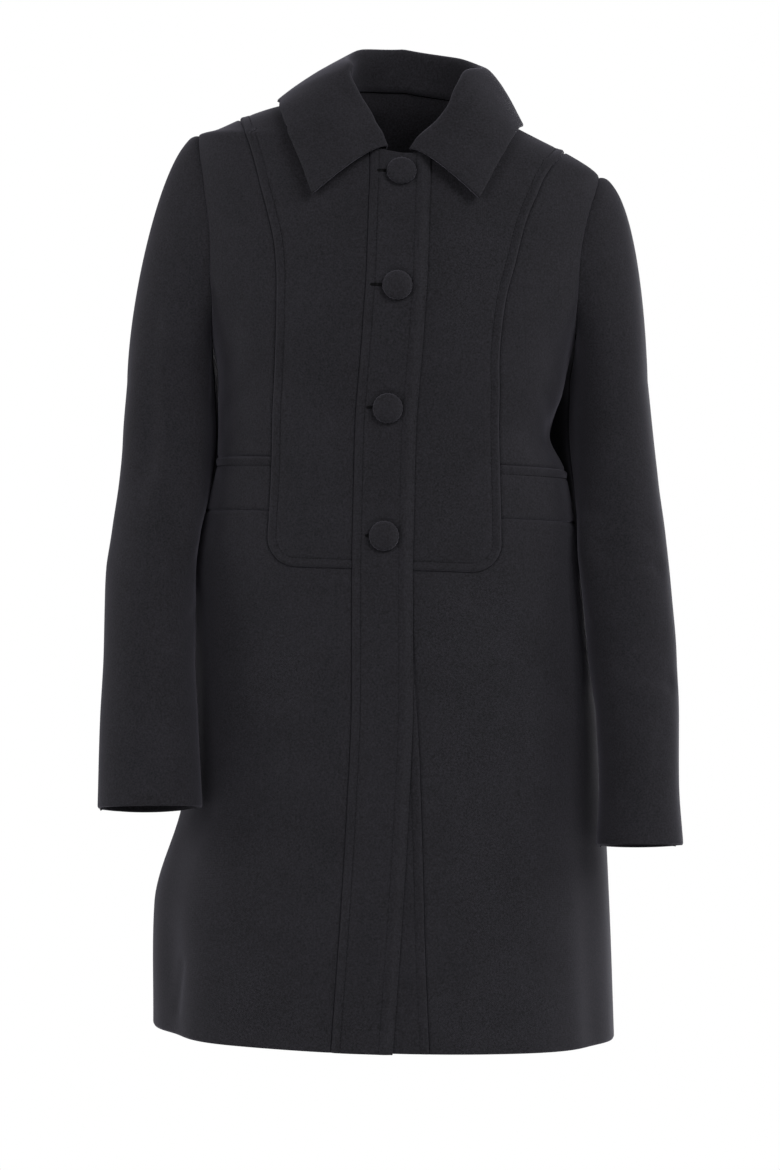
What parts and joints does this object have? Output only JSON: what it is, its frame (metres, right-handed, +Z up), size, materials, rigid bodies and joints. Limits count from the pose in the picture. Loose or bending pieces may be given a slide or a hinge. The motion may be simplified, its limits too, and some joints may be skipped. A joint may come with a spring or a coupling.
{
  "type": "wool coat",
  "caption": "Thigh-length single-breasted wool coat in its worn form, with bib panels, inset waistbands, flared skirt, pointed collar, long sleeves and covered buttons.",
  "frame": {"origin": "between the two points where the shoulder seams meet the neck, on the wearer's shoulders", "axes": "+Z up, the front of the coat towards -Y, the wearer's left towards +X"},
  "size_m": [0.525, 0.3184, 0.9198],
  "materials": {
    "wool_cloth": "black melton wool, fulled and matte",
    "button_cover": "black melton wool stretched over a dome"
  },
  "bodies": {
    "root": {"back": "wool_cloth", "side_front_right": "wool_cloth", "side_front_left": "wool_cloth", "bib_right": "wool_cloth", "bib_left": "wool_cloth", "waistband_right": "wool_cloth", "waistband_left": "wool_cloth", "skirt_front_right": "wool_cloth", "skirt_front_left": "wool_cloth", "placket_right": "wool_cloth", "placket_left": "wool_cloth", "sleeve_right": "wool_cloth", "sleeve_left": "wool_cloth", "collar": "wool_cloth", "button_1": "button_cover", "button_2": "button_cover", "button_3": "button_cover", "button_4": "button_cover"}
  },
  "joints": []
}
